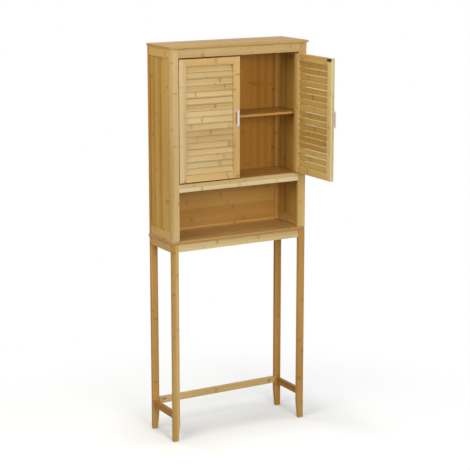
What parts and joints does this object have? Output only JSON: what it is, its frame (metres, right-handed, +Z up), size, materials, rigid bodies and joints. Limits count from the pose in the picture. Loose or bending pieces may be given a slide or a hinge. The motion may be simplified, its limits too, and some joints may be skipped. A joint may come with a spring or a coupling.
{
  "type": "over the toilet storage rack",
  "caption": "Tall bamboo storage rack that stands over a toilet, with an open compartment and a louvred-door cupboard with an inner shelf above it.",
  "frame": {"origin": "on the floor, at the bottom centre of the box that the rack and its open right door fill at rest", "axes": "+X to the right seen from the front, +Y to the back (towards the wall), +Z up"},
  "size_m": [0.666, 0.4876, 1.7],
  "materials": {
    "bamboo": "satin clear lacquer on pale laminated bamboo",
    "bamboo_leg": "satin clear lacquer on golden laminated bamboo",
    "bamboo_panel": "satin clear lacquer on golden laminated bamboo board",
    "aluminium": "satin",
    "steel": "zinc plated",
    "dark_steel": "black, satin",
    "catch": "brown, matt"
  },
  "bodies": {
    "cabinet": {"leg_front_left": "bamboo_leg", "leg_front_right": "bamboo_leg", "leg_rear_left": "bamboo_leg", "leg_rear_right": "bamboo_leg", "apron_left": "bamboo_leg", "apron_right": "bamboo_leg", "stretcher_rear": "bamboo_leg", "stretcher_left": "bamboo_leg", "stretcher_right": "bamboo_leg", "apron_front": "bamboo", "apron_rear": "bamboo", "base_board": "bamboo", "top_panel": "bamboo", "post_front_left": "bamboo", "post_front_right": "bamboo", "post_rear_left": "bamboo", "post_rear_right": "bamboo", "side_top_rail_left": "bamboo", "side_top_rail_right": "bamboo", "side_bottom_rail_left": "bamboo", "side_bottom_rail_right": "bamboo", "rail_top_front": "bamboo", "rail_top_rear": "bamboo", "rail_mid_front": "bamboo", "rail_mid_rear": "bamboo", "side_panel_left": "bamboo_panel", "side_panel_right": "bamboo_panel", "back_panel_upper": "bamboo_panel", "back_panel_lower": "bamboo_panel", "mid_board": "bamboo_panel", "inner_shelf": "bamboo_panel", "shelf_cleat_left": "bamboo_panel", "shelf_cleat_right": "bamboo_panel", "barrel_nut_left": "steel", "barrel_nut_right": "steel", "magnetic_catch": "catch"},
    "left_door": {"left_door_hinge_stile": "bamboo", "left_door_free_stile": "bamboo", "left_door_top_rail": "bamboo", "left_door_bottom_rail": "bamboo", "left_door_louvre_pack": "bamboo", "left_door_handle": "aluminium", "left_door_strike_plate": "dark_steel", "left_door_upper_pin": "dark_steel", "left_door_lower_pin": "dark_steel", "left_door_handle_screw_upper": "steel", "left_door_handle_screw_lower": "steel"},
    "right_door": {"right_door_hinge_stile": "bamboo", "right_door_free_stile": "bamboo", "right_door_top_rail": "bamboo", "right_door_bottom_rail": "bamboo", "right_door_louvre_pack": "bamboo", "right_door_handle": "aluminium", "right_door_strike_plate": "dark_steel", "right_door_upper_pin": "dark_steel", "right_door_lower_pin": "dark_steel", "right_door_handle_screw_upper": "steel", "right_door_handle_screw_lower": "steel"}
  },
  "joints": [
    {"name": "left_door_hinge", "type": "hinge", "parent": "cabinet", "child": "left_door", "pos_m": [-0.2845, 0.03975, 1.38775], "axis": [0, 0, -1], "range_deg": [0, 92]},
    {"name": "right_door_hinge", "type": "hinge", "parent": "cabinet", "child": "right_door", "pos_m": [0.2845, 0.03975, 1.38775], "axis": [0, 0, 1], "range_deg": [-90, 2]}
  ]
}
